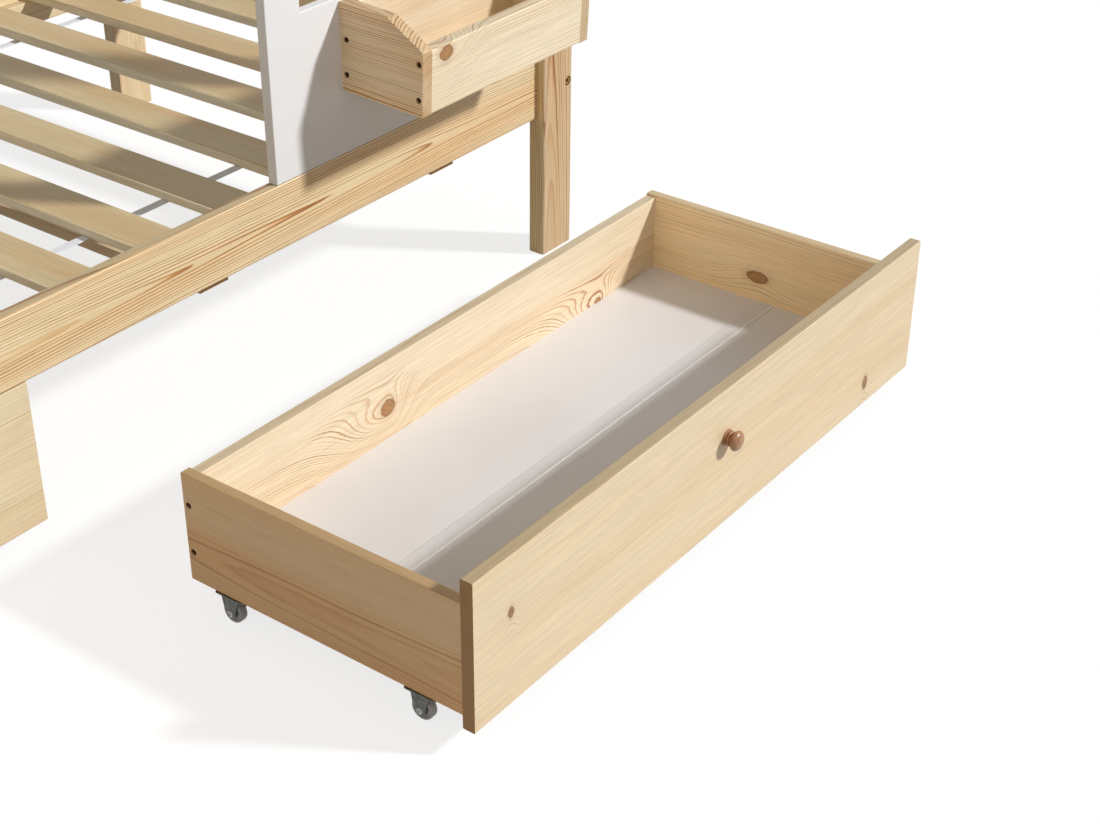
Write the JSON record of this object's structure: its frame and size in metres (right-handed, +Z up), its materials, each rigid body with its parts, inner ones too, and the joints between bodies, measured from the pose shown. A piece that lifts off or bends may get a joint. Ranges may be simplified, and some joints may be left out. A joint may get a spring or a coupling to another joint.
{
  "type": "bunk bed with drawers",
  "caption": "Pine bunk bed with a ladder, guards, roll-out slat bases, a white window panel with a flower box, and underbed drawers rolling on fixed castors.",
  "frame": {"origin": "on the floor, under the middle of the space the bed takes up with its right drawer rolled out", "axes": "+X along the bed towards the end with the flower box, +Y towards the wall side, +Z up; the drawers open towards -Y"},
  "size_m": [2.07, 1.6188, 1.55],
  "materials": {
    "pine": "clear satin lacquer on knotty pine",
    "slat_wood": "bare planed pine",
    "white_paint": "white satin paint on board",
    "white_board": "white faced hardboard with a white joining strip",
    "knob_wood": "red-brown lacquer",
    "steel": "zinc-plated pressed steel",
    "wheel_plastic": "grey moulded plastic"
  },
  "bodies": {
    "bed": {"front_right_post": "pine", "front_left_post": "pine", "back_right_post": "pine", "back_left_post": "pine", "front_rail": "pine", "back_rail": "pine", "upper_front_rail": "pine", "upper_back_rail": "pine", "right_end_rail": "pine", "left_end_rail": "pine", "cross_tie_1": "pine", "cross_tie_2": "pine", "cross_tie_3": "pine", "cross_tie_4": "pine", "slat_base": "slat_wood", "upper_slat_base": "slat_wood", "window_panel": "white_paint", "flower_box_left_end": "pine", "flower_box_right_end": "pine", "flower_box_front": "pine", "flower_box_back": "pine", "flower_box_bottom": "pine", "front_guard": "pine", "back_guard": "pine", "upper_right_end_frame": "pine", "upper_left_end_frame": "pine", "ladder": "pine"},
    "right_drawer": {"right_drawer_front": "pine", "right_drawer_left_end": "pine", "right_drawer_right_end": "pine", "right_drawer_back": "pine", "right_drawer_bottom": "white_board", "right_drawer_left_batten": "pine", "right_drawer_right_batten": "pine", "right_drawer_knob": "knob_wood", "right_drawer_front_left_castor": "steel", "right_drawer_front_right_castor": "steel", "right_drawer_back_left_castor": "steel", "right_drawer_back_right_castor": "steel"},
    "right_drawer_front_left_wheel": {"right_drawer_front_left_wheel": "wheel_plastic"},
    "right_drawer_front_right_wheel": {"right_drawer_front_right_wheel": "wheel_plastic"},
    "right_drawer_back_left_wheel": {"right_drawer_back_left_wheel": "wheel_plastic"},
    "right_drawer_back_right_wheel": {"right_drawer_back_right_wheel": "wheel_plastic"},
    "left_drawer": {"left_drawer_front": "pine", "left_drawer_left_end": "pine", "left_drawer_right_end": "pine", "left_drawer_back": "pine", "left_drawer_bottom": "white_board", "left_drawer_left_batten": "pine", "left_drawer_right_batten": "pine", "left_drawer_knob": "knob_wood", "left_drawer_front_left_castor": "steel", "left_drawer_front_right_castor": "steel", "left_drawer_back_left_castor": "steel", "left_drawer_back_right_castor": "steel"},
    "left_drawer_front_left_wheel": {"left_drawer_front_left_wheel": "wheel_plastic"},
    "left_drawer_front_right_wheel": {"left_drawer_front_right_wheel": "wheel_plastic"},
    "left_drawer_back_left_wheel": {"left_drawer_back_left_wheel": "wheel_plastic"},
    "left_drawer_back_right_wheel": {"left_drawer_back_right_wheel": "wheel_plastic"}
  },
  "joints": [
    {"name": "right_drawer_slide", "type": "slide", "parent": "bed", "child": "right_drawer", "axis": [0, 1, 0], "range_m": [0, 0.646]},
    {"name": "right_drawer_front_left_wheel_spin", "type": "hinge", "parent": "right_drawer", "child": "right_drawer_front_left_wheel", "pos_m": [0.02, -0.7074, 0.014], "axis": [1, 0, 0], "continuous": true},
    {"name": "right_drawer_front_right_wheel_spin", "type": "hinge", "parent": "right_drawer", "child": "right_drawer_front_right_wheel", "pos_m": [0.926, -0.7074, 0.014], "axis": [1, 0, 0], "continuous": true},
    {"name": "right_drawer_back_left_wheel_spin", "type": "hinge", "parent": "right_drawer", "child": "right_drawer_back_left_wheel", "pos_m": [0.02, -0.4309, 0.014], "axis": [1, 0, 0], "continuous": true},
    {"name": "right_drawer_back_right_wheel_spin", "type": "hinge", "parent": "right_drawer", "child": "right_drawer_back_right_wheel", "pos_m": [0.926, -0.4309, 0.014], "axis": [1, 0, 0], "continuous": true},
    {"name": "left_drawer_slide", "type": "slide", "parent": "bed", "child": "left_drawer", "axis": [0, -1, 0], "range_m": [0, 0.646]},
    {"name": "left_drawer_front_left_wheel_spin", "type": "hinge", "parent": "left_drawer", "child": "left_drawer_front_left_wheel", "pos_m": [-0.926, -0.0614, 0.014], "axis": [1, 0, 0], "continuous": true},
    {"name": "left_drawer_front_right_wheel_spin", "type": "hinge", "parent": "left_drawer", "child": "left_drawer_front_right_wheel", "pos_m": [-0.02, -0.0614, 0.014], "axis": [1, 0, 0], "continuous": true},
    {"name": "left_drawer_back_left_wheel_spin", "type": "hinge", "parent": "left_drawer", "child": "left_drawer_back_left_wheel", "pos_m": [-0.926, 0.2151, 0.014], "axis": [1, 0, 0], "continuous": true},
    {"name": "left_drawer_back_right_wheel_spin", "type": "hinge", "parent": "left_drawer", "child": "left_drawer_back_right_wheel", "pos_m": [-0.02, 0.2151, 0.014], "axis": [1, 0, 0], "continuous": true}
  ],
  "couplings": [
    {"joint": "right_drawer_front_left_wheel_spin", "follows": "right_drawer_slide", "rad_per_m": -71.429},
    {"joint": "right_drawer_front_right_wheel_spin", "follows": "right_drawer_slide", "rad_per_m": -71.429},
    {"joint": "right_drawer_back_left_wheel_spin", "follows": "right_drawer_slide", "rad_per_m": -71.429},
    {"joint": "right_drawer_back_right_wheel_spin", "follows": "right_drawer_slide", "rad_per_m": -71.429},
    {"joint": "left_drawer_front_left_wheel_spin", "follows": "left_drawer_slide", "rad_per_m": 71.429},
    {"joint": "left_drawer_front_right_wheel_spin", "follows": "left_drawer_slide", "rad_per_m": 71.429},
    {"joint": "left_drawer_back_left_wheel_spin", "follows": "left_drawer_slide", "rad_per_m": 71.429},
    {"joint": "left_drawer_back_right_wheel_spin", "follows": "left_drawer_slide", "rad_per_m": 71.429}
  ]
}
